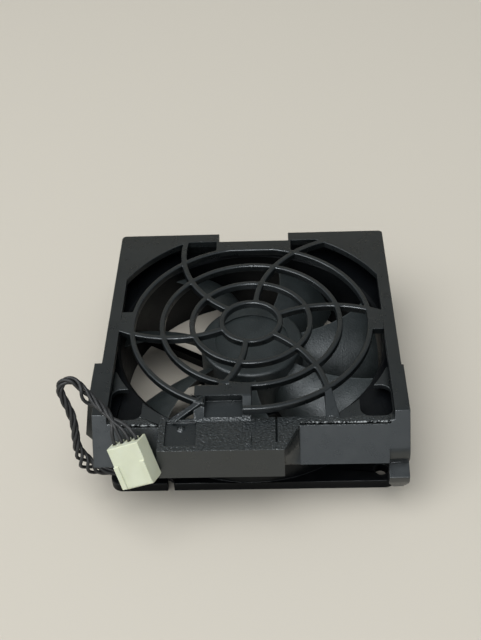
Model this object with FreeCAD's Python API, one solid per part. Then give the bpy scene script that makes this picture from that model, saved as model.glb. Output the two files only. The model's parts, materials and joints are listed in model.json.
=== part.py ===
import FreeCAD
import Part
import math
import os

# Case fan in a snap-in holder: a square axial fan under a moulded cage with a web guard.
# Millimetres, +Z up. The origin is on the fan's axis, in the plane of the fan's foot face.
# X runs along the holder's front wall and Y points to its back.

# Fan frame
fan_side = 92.0
fan_depth = 25.0
fan_corner_radius = 3.6
flange_thick = 3.6
screw_edge = 4.75
screw_hole_radius = 2.15
duct_wall = 1.3
duct_rim = 0.1
inlet_chamfer = 1.0

# Motor base and struts of the fan frame
base_recess = 0.4
base_thick = 2.0
base_radius = 18.6
base_rim_thick = 1.2
base_rim_height = 2.2
shaft_opening_radius = 3.4
boss_wall = 1.25
boss_height = 5.2
strut_width = 2.6
strut_height = 3.4
strut_count = 4
lead_strut_width = 5.4
board_post_radius = 0.9
board_post_inset = 2.4
board_post_count = 3
board_post_turn = 60.0

# Bearings and shaft
shaft_radius = 1.5
bearing_outer_radius = 4.0
bearing_width = 3.0
bearing_spacing = 5.6
ball_radius = 0.7
ball_count = 7
ball_circle_radius = 2.675
ball_clearance = 0.06
race_gap = 1.05
tube_wall = 0.8
tube_lip = 0.6
tube_rib_depth = 0.6
clip_room = 1.0
clip_thick = 0.6
clip_width = 1.3
clip_mouth = 60.0
clip_groove_depth = 0.35
shaft_tail = 0.8
spring_height = 2.4
spring_wire = 0.4
spring_turns = 2.5
bush_radius = 4.0
bush_spigot_radius = 2.8

# Stator
core_radius = 12.2
core_height = 6.0
core_ring_wall = 1.8
pole_count = 4
pole_neck_width = 3.6
pole_tip_thick = 1.6
pole_tip_span = 72.0
insulator_thick = 1.0
coil_build = 1.2
coil_side = 1.7
coil_slack = 0.15
coil_corner_radius = 1.05
pin_side = 0.6
pin_turn = 13.0
pin_tail = 0.4

# Circuit board
board_gap = 1.2
board_thick = 1.2
board_edge_gap = 1.4
chip_length = 5.0
chip_width = 4.0
chip_height = 1.4
chip_chamfer = 0.28
chip_turn = 45.0
capacitor_radius = 1.5
capacitor_height = 1.5
capacitor_turn = 135.0
resistor_length = 2.0
resistor_width = 1.25
resistor_height = 0.6
resistor_turn = 225.0

# Rotor
hub_drop = 1.6
hub_roof = 1.6
hub_wall = 1.6
hub_skirt_gap = 1.8
hub_edge_fillet = 1.2
hub_dish_radius = 12.6
hub_dish_depth = 0.6
yoke_thick = 0.8
yoke_inset = 1.6
magnet_thick = 2.2
magnet_length = 10.0
magnet_inset = 0.4
air_gap = 0.5
glue_gap = 0.05
blade_count = 7
blade_thick = 1.5
blade_tip_gap = 0.9
blade_rise_root = 15.0
blade_rise_middle = 15.8
blade_rise_tip = 16.0
blade_chord_root = 17.6
blade_chord_middle = 23.0
blade_chord_tip = 30.5
blade_camber = 0.11
blade_sweep_middle = 4.3
blade_sweep_tip = 13.0
blade_overrun = 3.5
blade_phase = 2.0
blade_lift = 13.8

# Leads and connector
wire_diameter = 1.1
wire_pitch = 1.3
lead_bend = 0.9
lead_hole_radius = 1.75
lead_hole_inset = 3.4
lead_slot_width = 2.0
lead_hole_x = -26.5
bundle_diameter = 3.0
bundle_approach = 3.9
connector_pitch = 2.54
connector_ways = 4
connector_width = 10.6
connector_length = 13.8
connector_thick = 6.3
connector_chamfer = 0.5
connector_rib_width = 1.6
connector_rib_height = 0.6
connector_rib_length = 7.6
connector_x = -41.0
connector_y = -49.7
connector_z = 28.7
connector_yaw = -5.5
connector_tilt = -24.4
connector_roll = 155.2
socket_side = 1.5
terminal_side = 1.2
terminal_length = 9.0
terminal_inset = 2.0
wire_hole_side = 1.5
wire_hole_depth = 2.0

# Holder: outer form
back_room = 0.2
front_setback = 3.75
fan_drop = 7.3
plate_thick = 2.4
wall_thick = 1.8
skirt_depth = 13.5
front_slope = 35.0
back_corner_radius = 1.6
fan_clearance = 0.2
notch_left = -12.0
notch_right = 13.4
back_notch_depth = 4.6
back_notch_drop = 6.0
notch_cheek = 0.8
border_width = 4.0

# Holder: web guard
ring_count = 4
ring_pitch = 10.02
ring_first_radius = 9.8
ring_width = 1.8
spoke_count = 6
spoke_width = 1.9
spoke_root_angle = 20.4
spoke_middle_angle = 14.2
spoke_tip_angle = -0.9
spoke_middle_radius = 30.0
foot_flare = 2.6
foot_overlap = 0.7
airway_radius = 49.5
bridge_width = 9.6

# Holder: ledge, platform, window and ears at the front
ledge_drop = 3.5
ledge_thick = 1.8
ledge_arc_radius = 47.9
ledge_width = 1.25
ledge_reach = -20.0
corner_block_width = 5.2
pocket_width = 10.0
pocket_length = 13.0
pocket_corner_radius = 3.0
platform_left = -28.2
platform_right = 10.3
platform_reach = 11.85
platform_lean = 2.1
gusset_width = 4.8
recess_left = -26.0
recess_width = 9.4
recess_length = 9.8
recess_depth = 0.8
recess_edge = 1.0
dome_radius = 1.3
dome_height = 0.7
groove_inset = 2.3
groove_width = 0.5
groove_length = 10.0
lip_width = 0.35
lip_groove_width = 0.8
lip_groove_depth = 0.9
tick_right = 0.3
tick_width = 1.6
tick_length = 5.3
tick_height = 0.5
window_left = -14.1
window_right = -2.4
window_back = -34.6
window_rim = 2.8
window_left_rim = 3.4
window_head = 4.6
window_depth = 2.6
window_floor = 1.0
ear_depth = 0.67
ear_back = -22.4
rib_back = -19.2
rib_front = -37.0
rib_top_width = 2.4
rib_low_width = 5.0
rib_slope_height = 14.5
rib_height = 18.5
tongue_width = 6.3
tongue_thick = 1.9
tongue_low = 7.3
tongue_bead = 2.0
tongue_bead_height = 2.0
tongue_corner = 1.5
tongue_dip_height = 4.2
tongue_dip_depth = 4.8
tongue_dip_steps = 8
tongue_neck_drop = 2.8
tongue_backing = 2.2
barb_width = 10.0
barb_reach = 1.2
barb_spread = 18.0
back_barb_spread = 28.0
seat_post_side = 4.2

# Heights and radii that follow from the sizes above
holder_top = fan_depth + fan_drop
plate_low = holder_top - plate_thick
skirt_low = holder_top - skirt_depth
ledge_top = holder_top - ledge_drop
ledge_low = ledge_top - ledge_thick
half_fan = fan_side / 2
half_screws = half_fan - screw_edge
inner_half = half_fan + fan_clearance
half_width = inner_half + wall_thick
holder_back = half_width + back_room
holder_front = front_setback - half_fan
ledge_back = holder_front + ledge_width
platform_front = holder_front - platform_reach
front_lean = math.tan(math.radians(front_slope))
front_wall_run = wall_thick / math.cos(math.radians(front_slope))
front_low = holder_front - front_lean * skirt_depth
duct_outer = half_fan - duct_rim
duct_inner = duct_outer - duct_wall
opening_half = half_width - border_width
ring_radii = [ring_first_radius + ring_pitch * n for n in range(ring_count)]
guard_radius = ring_radii[-1] + ring_width / 2

base_low = base_recess
base_top = base_low + base_thick
boss_top = base_top + boss_height
tube_radius = bearing_outer_radius + tube_wall
boss_radius = tube_radius + boss_wall
lower_bearing = base_top + clip_room
upper_bearing = lower_bearing + bearing_width + bearing_spacing
tube_top = upper_bearing + bearing_width + tube_lip
spring_low = upper_bearing + bearing_width
bush_low = spring_low + spring_height
hub_top = fan_depth - hub_drop
yoke_top = hub_top - hub_roof
bush_high = yoke_top - yoke_thick
board_radius = base_radius - base_rim_thick - board_edge_gap
board_post_circle = board_radius - board_post_inset
board_low = base_top + board_gap
board_top = board_low + board_thick
insulator_low = boss_top
core_low = insulator_low + insulator_thick
core_top = core_low + core_height
insulator_high = core_top + insulator_thick
magnet_inner = core_radius + air_gap
magnet_outer = magnet_inner + magnet_thick
yoke_inner = magnet_outer + glue_gap
yoke_outer = yoke_inner + yoke_thick
hub_inner = yoke_outer + glue_gap
hub_radius = hub_inner + hub_wall
hub_low = base_top + base_rim_height + hub_skirt_gap
yoke_low = hub_low + yoke_inset
magnet_low = yoke_low + magnet_inset
blade_tip_radius = duct_inner - blade_tip_gap
inner_race_land = ball_circle_radius - race_gap / 2
outer_race_land = ball_circle_radius + race_gap / 2

# Free length of the wires, from the flange notch round the left ear and up over it to the connector
bundle_start = (lead_hole_x, lead_hole_inset - half_fan, flange_thick)
bundle_route = [
    bundle_start,
    (lead_hole_x, lead_hole_inset - half_fan, 6.6),
    (-30.0, -43.2, 9.2),
    (-34.8, -43.8, 9.4),
    (-40.2, -44.2, 8.6),
    (-45.3, -44.6, 8.4),
    (-49.3, -45.0, 9.6),
    (-52.4, -45.0, 12.8),
    (-54.0, -44.8, 17.6),
    (-54.5, -44.2, 22.6),
    (-54.3, -43.2, 26.9),
    (-54.6, -42.0, 31.1),
    (-55.6, -41.0, 35.0),
    (-56.9, -39.9, 38.4),
    (-57.6, -39.2, 41.2),
    (-56.2, -38.5, 43.6),
    (-53.4, -38.3, 44.0),
    (-51.0, -39.1, 42.2),
    (-48.6, -40.8, 39.7),
    (-45.6, -43.4, 38.2),
    (-42.0, -46.8, 37.4),
]

# An edge with less extent than this lies square to that direction, and a bend takes this share of a run
flat_limit = 1e-6
bend_share = 0.45

VERTICAL = FreeCAD.Vector(0, 0, 1)
CENTRE = FreeCAD.Vector(0, 0, 0)


def vector(x, y, z):
    return FreeCAD.Vector(x, y, z)


def polar(radius, degrees, z=0.0):
    turn = math.radians(degrees)
    return vector(radius * math.cos(turn), radius * math.sin(turn), z)


def box(x_low, x_high, y_low, y_high, z_low, z_high):
    return Part.makeBox(x_high - x_low, y_high - y_low, z_high - z_low, vector(x_low, y_low, z_low))


def cylinder(radius, z_low, z_high, at=CENTRE):
    return Part.makeCylinder(radius, z_high - z_low, vector(at.x, at.y, z_low))


def ring(inner, outer, z_low, z_high):
    return cylinder(outer, z_low, z_high).cut(cylinder(inner, z_low, z_high))


def turned(shape, degrees):
    copy = shape.copy()
    copy.rotate(CENTRE, VERTICAL, degrees)
    return copy


def around(shape, count, first=0.0):
    return [turned(shape, first + 360.0 / count * n) for n in range(count)]


def fused(shapes):
    result = shapes[0]
    for shape in shapes[1:]:
        result = result.fuse(shape)
    return result.removeSplitter()


def extruded(corners, along):
    outline = Part.makePolygon(corners + corners[:1])
    return Part.Face(outline).extrude(along)


def across_x(profile, x_low, x_high):
    """A (Y, Z) outline extruded along X."""
    return extruded([vector(x_low, y, z) for y, z in profile], vector(x_high - x_low, 0, 0))


def across_y(profile, y_low, y_high):
    """An (X, Z) outline extruded along Y."""
    return extruded([vector(x, y_low, z) for x, z in profile], vector(0, y_high - y_low, 0))


def upright(profile, z_low, z_high):
    """An (X, Y) outline extruded along Z."""
    return extruded([vector(x, y, z_low) for x, y in profile], vector(0, 0, z_high - z_low))


def revolved(profile):
    """An (R, Z) outline turned about the fan's axis."""
    corners = [vector(r, 0, z) for r, z in profile]
    outline = Part.makePolygon(corners + corners[:1])
    return Part.Face(outline).revolve(CENTRE, VERTICAL, 360)


def edges_where(shape, wanted):
    return [edge for edge in shape.Edges if wanted(edge.BoundBox)]


def rounded_block(block, radius):
    """A box with its upright edges rounded."""
    length = block.BoundBox.ZLength
    upright_edges = edges_where(block, lambda limits: abs(limits.ZLength - length) < flat_limit)
    return block.makeFillet(radius, upright_edges)


def bent_tube(route, diameter, bend=None):
    """A round tube of straight runs and tangent arcs, each as large as its runs allow if no bend is given."""
    points = [vector(*point) for point in route]
    edges = []
    radii = []
    reached = points[0]
    for before, corner, after in zip(points, points[1:], points[2:]):
        back = before - corner
        ahead = after - corner
        shorter = min(back.Length, ahead.Length)
        back.normalize()
        ahead.normalize()
        half_turn = (math.pi - back.getAngle(ahead)) / 2
        radius = bend or bend_share * shorter / math.tan(half_turn)
        reach = radius * math.tan(half_turn)
        bisector = back + ahead
        bisector.normalize()
        start = corner + back * reach
        end = corner + ahead * reach
        middle = corner + bisector * (radius / math.cos(half_turn) - radius)
        edges.append(Part.LineSegment(reached, start).toShape())
        edges.append(Part.Arc(start, middle, end).toShape())
        radii.append(radius)
        reached = end
    edges.append(Part.LineSegment(reached, points[-1]).toShape())
    path = Part.Wire(edges)
    section = Part.Wire(Part.makeCircle(diameter / 2, points[0], points[1] - points[0]))
    return path.makePipeShell([section], True, False), path.Length, radii


# The holder


def front_at(z):
    """Y of the front wall's outer face at height z."""
    return holder_front - front_lean * (holder_top - z)


def outer_profile(back):
    return [(back, holder_top), (back, skirt_low), (front_low, skirt_low), (holder_front, holder_top)]


def holder_shell():
    """The open-bottomed cage: top plate, side and back walls and the sloped front wall."""
    outer = across_x(outer_profile(holder_back), -half_width, half_width)
    inner_profile = [
        (holder_back - wall_thick, plate_low),
        (holder_back - wall_thick, skirt_low),
        (front_low + front_wall_run, skirt_low),
        (front_at(plate_low) + front_wall_run, plate_low),
    ]
    rounded = outer.makeFillet(back_corner_radius, edges_where(outer, is_back_corner))
    shell = rounded.cut(across_x(inner_profile, -inner_half, inner_half))
    ears = across_x(outer_profile(ear_back), -half_width - ear_depth, half_width + ear_depth)
    ears = ears.cut(box(-half_width, half_width, front_low, holder_back, skirt_low, holder_top))
    back_notch = box(notch_left, notch_right, holder_back - back_notch_depth, holder_back,
                     holder_top - back_notch_drop, holder_top)
    return fused([shell] + ears.Solids).cut(back_notch)


def is_back_corner(limits):
    return limits.XLength < flat_limit and limits.YLength < flat_limit and limits.YMin > 0


def spoke_arc():
    """The centre line of one guard spoke, through three polar points."""
    root = polar(ring_first_radius, spoke_root_angle)
    middle = polar(spoke_middle_radius, spoke_middle_angle)
    return Part.Arc(root, middle, polar(airway_radius, spoke_tip_angle)).toShape()


def spoke():
    """One guard spoke, from the inner ring to the airway's edge."""
    curve = spoke_arc().Curve
    bow = curve.Radius
    along = cylinder(bow + spoke_width / 2, plate_low, holder_top, curve.Center)
    along = along.cut(cylinder(bow - spoke_width / 2, plate_low, holder_top, curve.Center))
    zone = ring(ring_first_radius, airway_radius, plate_low, holder_top)
    facing = box(0, airway_radius, -airway_radius, airway_radius, plate_low, holder_top)
    return along.common(zone).common(turned(facing, spoke_middle_angle)).Solids[0]


def airway():
    """Everything that air passes through between the plate's borders, before the web goes back in."""
    borders = box(-opening_half, opening_half, -half_width, holder_back - back_notch_depth,
                  plate_low, holder_top)
    round_part = cylinder(airway_radius, plate_low, holder_top).common(borders)
    front_part = box(-opening_half, opening_half, front_low, 0, plate_low, holder_top)
    web_front = guard_radius * math.cos(math.radians(spoke_root_angle))
    notch_web = box(notch_left - notch_cheek, notch_right + notch_cheek, web_front, holder_back,
                    plate_low, holder_top)
    return round_part.cut(notch_web).fuse(front_part)


def spoke_foot(flare):
    """The end of a front spoke past the outer ring: it slopes down to the ledge and may widen on one side."""
    start, tip = [spoke_arc().distToShape(Part.makeCircle(radius))[1][0][0]
                  for radius in (ring_radii[-1], ledge_arc_radius + foot_overlap)]
    aside = VERTICAL.cross(tip - start).normalize()
    ends = []
    for at, low, high, widening in ((start, plate_low, holder_top, 0), (tip, ledge_low, ledge_top, flare)):
        near = at - aside * (spoke_width / 2)
        far = at + aside * (spoke_width / 2 + widening)
        corners = [near + VERTICAL * low, far + VERTICAL * low, far + VERTICAL * high, near + VERTICAL * high]
        ends.append(Part.makePolygon(corners + corners[:1]))
    return Part.makeLoft(ends, True, True)


def guard_spokes():
    """All the spokes: the two front ones stop at the outer ring and go on as feet, the right one flared."""
    inside = cylinder(guard_radius, plate_low, holder_top)
    shapes = []
    for number, whole in enumerate(around(spoke(), spoke_count)):
        if whole.CenterOfMass.y < -spoke_middle_radius / 2:
            flare = foot_flare if whole.CenterOfMass.x > 0 else 0
            shapes += [whole.common(inside), turned(spoke_foot(flare), 360.0 / spoke_count * number)]
        else:
            shapes.append(whole)
    return shapes


def guard_web():
    rings = [ring(radius - ring_width / 2, radius + ring_width / 2, plate_low, holder_top)
             for radius in ring_radii]
    bridge = box(guard_radius - ring_width, opening_half, -bridge_width / 2, bridge_width / 2,
                 plate_low, holder_top)
    bridges = around(bridge, 2, spoke_tip_angle)
    envelope = across_x(outer_profile(holder_back), -half_width, half_width)
    return fused(rings + guard_spokes() + bridges).common(envelope)


def ledge():
    """The lower shelf behind the front wall: two corners with pockets, and a strip between them."""
    front = front_at(ledge_top) + front_wall_run / 2
    corners = box(-inner_half, inner_half, front, ledge_reach, ledge_low, ledge_top)
    corners = corners.cut(cylinder(ledge_arc_radius, ledge_low, ledge_top))
    strip = box(-inner_half, inner_half, front, ledge_back, ledge_low, ledge_top)
    shelf = fused([corners, strip])
    for left in (-opening_half, opening_half - pocket_width):
        pocket = box(left, left + pocket_width, ledge_back, ledge_back + pocket_length, ledge_low, ledge_top)
        shelf = shelf.cut(rounded_block(pocket, pocket_corner_radius))
    return shelf


def platform():
    """The shelf that stands out of the front wall, open below, with its side gusset and surface marks."""
    low_front = platform_front - platform_lean
    back = front_low + front_wall_run
    profile = [(ledge_back, ledge_top), (platform_front, ledge_top), (low_front, skirt_low),
               (back, skirt_low), (ledge_back, ledge_low)]
    outer = across_x(profile, platform_left, platform_right)
    behind = front_wall_run / 2
    ends = []
    for x, front in ((platform_right, platform_front), (platform_right + gusset_width, front_at(ledge_top))):
        corners = [vector(x, front_at(ledge_top) + behind, ledge_top), vector(x, front, ledge_top),
                   vector(x, front_low, skirt_low), vector(x, front_low + behind, skirt_low)]
        ends.append(Part.makePolygon(corners + corners[:1]))
    return fused([outer, Part.makeLoft(ends, True, True)])


def platform_hollow():
    low_front = platform_front - platform_lean
    return across_x([(ledge_back, ledge_low), (platform_front + wall_thick, ledge_low),
                     (low_front + wall_thick, skirt_low), (front_low + front_wall_run, skirt_low)],
                    platform_left + wall_thick, platform_right - wall_thick)


def platform_marks(shape):
    """A shallow recess with a dome in it, a thin groove near the right end and a small raised tick."""
    recess_back = ledge_back - recess_edge
    recess = box(recess_left, recess_left + recess_width, recess_back - recess_length, recess_back,
                 ledge_top - recess_depth, ledge_top)
    groove_x = platform_right - groove_inset
    groove = box(groove_x - groove_width / 2, groove_x + groove_width / 2,
                 ledge_back - groove_length, ledge_back, ledge_top - recess_depth, ledge_top)
    dome_ball = (dome_radius ** 2 + dome_height ** 2) / (2 * dome_height)
    dome_floor = ledge_top - recess_depth
    dome = Part.makeSphere(dome_ball, vector(recess_left + recess_width / 2, recess_back - 2 * dome_radius,
                                             dome_floor + dome_height - dome_ball))
    dome = dome.common(box(recess_left, recess_left + recess_width, recess_back - recess_length, recess_back,
                           dome_floor - recess_depth, ledge_top + dome_height))
    tick_front = platform_front + wall_thick
    tick = box(tick_right - tick_width, tick_right, tick_front, tick_front + tick_length, ledge_top,
               ledge_top + tick_height)
    return fused([shape.cut(recess).cut(groove), dome, tick])


def window_frame():
    """The flat pad in front of the third ring, with a floor and legs that slope down to the ledge."""
    ring_inside = ring_radii[2] - ring_width / 2
    back = window_back + window_head
    profile = [(back, holder_top), (window_back, holder_top), (ledge_back - window_rim / 2, ledge_top),
               (ledge_back - window_rim / 2, ledge_low),
               (window_back, holder_top - window_depth - window_floor), (back, plate_low)]
    pad = across_x(profile, window_left - window_left_rim, window_right + window_rim)
    return pad.cut(cylinder(ring_inside, plate_low, holder_top))


def window_recess():
    """The blind window in the pad: deepest at its back wall, and level with the ledge in front."""
    profile = [(window_back, holder_top), (window_back, holder_top - window_depth), (ledge_back, ledge_top),
               (ledge_back, holder_top)]
    return across_x(profile, window_left, window_right)


def lip_grooves():
    """The thin line that parts the ledge from the top of the front wall, on both sides of the platform."""
    front = front_at(ledge_top) + lip_width
    sides = ((corner_block_width - half_width, platform_left),
             (platform_right + gusset_width, half_width - corner_block_width))
    return [box(left, right, front, front + lip_groove_width, ledge_top - lip_groove_depth, ledge_top)
            for left, right in sides]


def side_rib():
    """The guide rib on the left side: it flares outwards, turns under and ends behind the front corner."""
    profile = [(-half_width, holder_top), (-half_width - rib_top_width, holder_top),
               (-half_width - rib_low_width, holder_top - rib_slope_height),
               (-half_width - rib_top_width, holder_top - rib_height), (-half_width, holder_top - rib_height)]
    return across_y(profile, rib_front, rib_back)


def tongue_sides():
    right = half_width + ear_depth
    return right - tongue_width, right


def tongue_hollow():
    """Outline of the front wall above the tongue, where it curves in and under, down to the neck."""
    outline = []
    for step in range(tongue_dip_steps + 1):
        part = step / tongue_dip_steps
        z = skirt_low + tongue_dip_height - (tongue_dip_height + tongue_neck_drop) * part
        outline.append((front_at(z) + tongue_dip_depth * part ** 2, z))
    return outline


def tongue_dip():
    return across_x(tongue_hollow() + [(front_low, skirt_low)], *tongue_sides())


def snap_tongue():
    """The spring tongue under the right end of the front wall, with a bead below its neck."""
    inner = front_low + front_wall_run
    outer = inner - tongue_thick
    high = skirt_low + tongue_dip_height
    bead_high = skirt_low - tongue_neck_drop - tongue_bead
    bead_low = bead_high - tongue_bead_height
    profile = tongue_hollow() + [
        (outer - tongue_bead, bead_high), (outer - tongue_bead, bead_low), (outer, tongue_low),
        (inner, tongue_low), (inner, bead_low), (inner + tongue_backing, bead_high),
        (inner + tongue_backing, skirt_low), (front_at(high) + front_wall_run, high)]
    left, right = tongue_sides()
    tongue = across_x(profile, left, right)
    corner = [(0, tongue_low), (tongue_corner, tongue_low), (0, tongue_low + 2 * tongue_corner)]
    for edge, side in ((left, 1), (right, -1)):
        cut = across_y([(edge + side * x, z) for x, z in corner], outer - 2 * tongue_bead, inner)
        tongue = tongue.cut(cut)
    return tongue


def barb():
    """A snap barb on a wall's inner face, under the fan's upper flange."""
    catch = fan_depth - flange_thick
    profile = [(inner_half + fan_clearance, catch), (inner_half - barb_reach, catch),
               (inner_half - barb_reach, catch - barb_reach / 2), (inner_half + fan_clearance, skirt_low)]
    return across_y(profile, -barb_width / 2, barb_width / 2)


def barbs():
    shapes = []
    for turn, spread in ((0, barb_spread), (180, barb_spread), (90, back_barb_spread)):
        for side in (-1, 1):
            one = barb()
            one.translate(vector(0, side * spread, 0))
            shapes.append(turned(one, turn))
    return shapes


def seat_posts():
    """Posts at the corners that the fan's upper face sits against."""
    posts = []
    for side in (-1, 1):
        x_low, x_high = sorted((side * (inner_half + wall_thick / 2), side * (inner_half - seat_post_side)))
        posts.append(box(x_low, x_high, inner_half - seat_post_side, inner_half, fan_depth, plate_low))
        posts.append(box(x_low, x_high, ledge_back - seat_post_side, ledge_back, fan_depth, ledge_low))
    envelope = across_x(outer_profile(holder_back), -half_width, half_width)
    return [post.common(envelope) for post in posts]


def fan_holder():
    shell = holder_shell().cut(airway())
    step = box(-half_width + corner_block_width, half_width - corner_block_width, front_low, ledge_back,
               ledge_top, holder_top)
    shell = shell.cut(step)
    body = fused([shell, guard_web(), ledge(), window_frame(), platform(), side_rib(), snap_tongue()]
                 + seat_posts())
    fan_pocket = box(-inner_half, inner_half, -inner_half, inner_half, 0, fan_depth)
    for gap in [platform_hollow(), fan_pocket, window_recess(), tongue_dip()] + lip_grooves():
        body = body.cut(gap)
    return fused([platform_marks(body)] + barbs())


# The fan frame


def flange(z_low):
    block = box(-half_fan, half_fan, -half_fan, half_fan, z_low, z_low + flange_thick)
    return rounded_block(block, fan_corner_radius)


def strut(width):
    return box(base_radius - base_rim_thick, duct_inner + duct_wall / 2, -width / 2, width / 2,
               base_low, base_low + strut_height)


def lead_channel():
    """The run that the motor's leads take: under the board, along the wide strut and out at the flange."""
    width = 2 * wire_pitch + fan_clearance
    height = 2 * wire_pitch + fan_clearance
    run = box(board_post_circle - board_post_radius - width, lead_hole_place().Length, -width / 2, width / 2,
              0, height)
    return turned(run, lead_strut_angle())


def lead_hole_place():
    """Where the leads turn up through the flange."""
    return vector(lead_hole_x, lead_hole_inset - half_fan, 0)


def lead_strut_angle():
    """The wide strut points from the axis at the lead hole."""
    place = lead_hole_place()
    return math.degrees(math.atan2(place.y, place.x))


def fan_frame():
    shell = fused([flange(0), flange(fan_depth - flange_thick), cylinder(duct_outer, 0, fan_depth)])
    inlet = revolved([(0, fan_depth - inlet_chamfer), (duct_inner, fan_depth - inlet_chamfer),
                      (duct_inner + inlet_chamfer, fan_depth), (0, fan_depth)])
    shell = shell.cut(cylinder(duct_inner, 0, fan_depth)).cut(inlet)
    struts = around(strut(strut_width), strut_count, lead_strut_angle())[1:]
    struts.append(turned(strut(lead_strut_width), lead_strut_angle()))
    base = revolved([(shaft_opening_radius, base_low), (base_radius, base_low),
                     (base_radius, base_top + base_rim_height),
                     (base_radius - base_rim_thick, base_top + base_rim_height),
                     (base_radius - base_rim_thick, base_top), (boss_radius, base_top),
                     (boss_radius, boss_top), (tube_radius, boss_top), (tube_radius, base_top),
                     (shaft_opening_radius, base_top)])
    post = cylinder(board_post_radius, base_top, board_low, vector(board_post_circle, 0, 0))
    posts = around(post, board_post_count, lead_strut_angle() + board_post_turn)
    frame = fused([shell, base] + struts + posts)
    for x in (-half_screws, half_screws):
        for y in (-half_screws, half_screws):
            frame = frame.cut(cylinder(screw_hole_radius, 0, fan_depth, vector(x, y, 0)))
    hole = lead_hole_place()
    lead_hole = cylinder(lead_hole_radius, 0, flange_thick, hole)
    lead_slot = box(hole.x - lead_slot_width / 2, hole.x + lead_slot_width / 2, -half_fan, hole.y,
                    0, flange_thick)
    return frame.cut(lead_channel()).cut(lead_hole).cut(lead_slot)


# Bearings, shaft and what turns on it


def bearing_tube():
    rib_low = lower_bearing + bearing_width
    rib_radius = bearing_outer_radius - tube_rib_depth
    return revolved([(bearing_outer_radius, base_top), (tube_radius, base_top), (tube_radius, tube_top),
                     (bearing_outer_radius, tube_top), (bearing_outer_radius, upper_bearing),
                     (rib_radius, upper_bearing), (rib_radius, rib_low), (bearing_outer_radius, rib_low)])


def ball_groove(z_low):
    middle = vector(0, 0, z_low + bearing_width / 2)
    return Part.makeTorus(ball_circle_radius, ball_radius + ball_clearance, middle)


def outer_race(z_low):
    return ring(outer_race_land, bearing_outer_radius, z_low, z_low + bearing_width).cut(ball_groove(z_low))


def inner_race(z_low):
    return ring(shaft_radius, inner_race_land, z_low, z_low + bearing_width).cut(ball_groove(z_low))


def ball_set(z_low):
    ball = Part.makeSphere(ball_radius, vector(ball_circle_radius, 0, z_low + bearing_width / 2))
    return Part.makeCompound(around(ball, ball_count))


def shaft():
    clip_low = lower_bearing - clip_thick
    groove = ring(shaft_radius - clip_groove_depth, shaft_radius, clip_low, lower_bearing)
    return cylinder(shaft_radius, clip_low - shaft_tail, yoke_top).cut(groove)


def retaining_clip():
    clip_low = lower_bearing - clip_thick
    inner = shaft_radius - clip_groove_depth
    outer = inner + clip_width
    whole = ring(inner, outer, clip_low, lower_bearing)
    half = math.tan(math.radians(clip_mouth / 2)) * outer
    mouth = upright([(0, 0), (outer, -half), (outer, half)], clip_low, lower_bearing)
    return whole.cut(mouth)


def preload_spring():
    """An open coil round the shaft, between the upper inner race and the bush."""
    mean = (shaft_radius + inner_race_land) / 2 + spring_wire / 2
    rise = spring_height - spring_wire
    helix = Part.makeHelix(rise / spring_turns, rise, mean)
    section = Part.Wire(Part.makeCircle(spring_wire / 2, vector(mean, 0, 0), vector(0, 1, 0)))
    coil = Part.Wire(helix.Edges).makePipeShell([section], True, True)
    coil.translate(vector(0, 0, spring_low + spring_wire / 2))
    return coil


def shaft_bush():
    return revolved([(shaft_radius, bush_low), (bush_radius, bush_low), (bush_radius, bush_high),
                     (bush_spigot_radius, bush_high), (bush_spigot_radius, yoke_top),
                     (shaft_radius, yoke_top)])


def rotor_yoke():
    return revolved([(bush_spigot_radius, bush_high), (yoke_inner, bush_high), (yoke_inner, yoke_low),
                     (yoke_outer, yoke_low), (yoke_outer, yoke_top), (bush_spigot_radius, yoke_top)])


def ring_magnet():
    return ring(magnet_inner, magnet_outer, magnet_low, magnet_low + magnet_length)


def blade_section(radius, chord, rise, lead):
    """A thin cambered section square to the blade's radius: arcs above and below, joined at both edges."""
    tilt = math.atan2(rise, math.sqrt(abs(chord ** 2 - rise ** 2)))
    across = polar(1, lead + 90)
    centre = polar(radius, lead, blade_lift)

    def place(along, offset):
        run = along * math.cos(tilt) - offset * math.sin(tilt)
        height = along * math.sin(tilt) + offset * math.cos(tilt)
        return centre + across * run + VERTICAL * height

    half = chord / 2
    bow = chord * blade_camber
    front = place(half, 0)
    rear = place(-half, 0)
    upper = Part.Arc(rear, place(0, bow + blade_thick / 2), front).toShape()
    lower = Part.Arc(front, place(0, bow - blade_thick / 2), rear).toShape()
    return Part.Wire([upper, lower])


def blade():
    """One swept blade, lofted from inside the hub wall to past its tip and trimmed to the tip circle."""
    root = hub_radius - hub_wall / 2
    reach = blade_tip_radius + blade_overrun
    sections = [
        blade_section(root, blade_chord_root, blade_rise_root, 0),
        blade_section((root + reach) / 2, blade_chord_middle, blade_rise_middle, blade_sweep_middle),
        blade_section(reach, blade_chord_tip, blade_rise_tip, blade_sweep_tip),
    ]
    whole = Part.makeLoft(sections, True, False)
    return whole.common(ring(root, blade_tip_radius, 0, fan_depth))


def is_hub_rim(limits):
    return abs(limits.ZMin - hub_top) < flat_limit and limits.XLength > hub_radius + hub_dish_radius


def impeller():
    dish = hub_top - hub_dish_depth
    hub = revolved([(0, yoke_top), (hub_inner, yoke_top), (hub_inner, hub_low), (hub_radius, hub_low),
                    (hub_radius, hub_top), (hub_dish_radius, hub_top), (hub_dish_radius, dish), (0, dish)])
    hub = hub.makeFillet(hub_edge_fillet, edges_where(hub, is_hub_rim))
    return fused([hub] + around(blade(), blade_count, blade_phase))


# Stator and circuit board


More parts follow.
